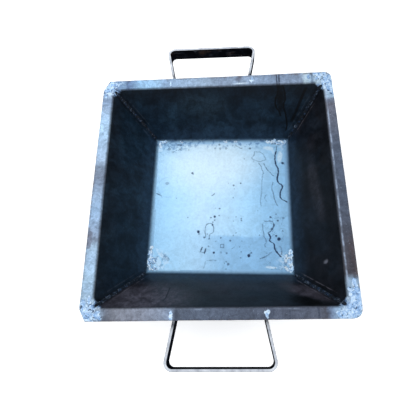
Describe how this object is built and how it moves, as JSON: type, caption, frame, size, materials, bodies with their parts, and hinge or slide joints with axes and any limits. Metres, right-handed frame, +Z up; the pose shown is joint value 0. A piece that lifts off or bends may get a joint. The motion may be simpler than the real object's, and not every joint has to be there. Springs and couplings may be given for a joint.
{
  "type": "mortar pan",
  "caption": "Square welded steel mortar pan with flat floor, four flared walls, a turned-out rim and fixed flat-bar loop handles front and rear.",
  "frame": {"origin": "middle of the underside of the flat floor", "axes": "+Z up out of the pan, +Y towards the rear handle, +X to the right of someone facing the rear handle"},
  "size_m": [0.4017, 0.5296, 0.1012],
  "materials": {
    "floor_sheet": "bare cold steel, satin, lightly scuffed",
    "wall_sheet": "dark blue-black mill scale, with a bare grey rim",
    "rim_corner_plate": "ground bare steel over weld metal",
    "handle_bar": "black hot-rolled flat bar with bare edges",
    "weld_metal": "rippled stick-weld bead"
  },
  "bodies": {
    "root": {"corner_seam_weld_front_left": "weld_metal", "corner_seam_weld_front_right": "weld_metal", "corner_seam_weld_rear_left": "weld_metal", "corner_seam_weld_rear_right": "weld_metal", "floor_corner_weld_front_left": "weld_metal", "floor_corner_weld_front_right": "weld_metal", "floor_corner_weld_rear_left": "weld_metal", "floor_corner_weld_rear_right": "weld_metal", "floor_plate": "floor_sheet", "front_handle": "handle_bar", "front_wall": "wall_sheet", "handle_weld_front_left": "weld_metal", "handle_weld_front_right": "weld_metal", "handle_weld_rear_left": "weld_metal", "handle_weld_rear_right": "weld_metal", "left_wall": "wall_sheet", "rear_floor_tack_welds": "weld_metal", "rear_handle": "handle_bar", "rear_wall": "wall_sheet", "right_wall": "wall_sheet", "rim_corner_front_left": "rim_corner_plate", "rim_corner_front_right": "rim_corner_plate", "rim_corner_rear_left": "rim_corner_plate", "rim_corner_rear_right": "rim_corner_plate", "rim_plug_weld_front_left": "weld_metal", "rim_plug_weld_front_right": "weld_metal", "rim_plug_weld_rear_left": "weld_metal", "rim_plug_weld_rear_right": "weld_metal", "rim_weld_front_left": "weld_metal", "rim_weld_front_right": "weld_metal", "rim_weld_rear_left": "weld_metal", "rim_weld_rear_right": "weld_metal"}
  },
  "joints": []
}
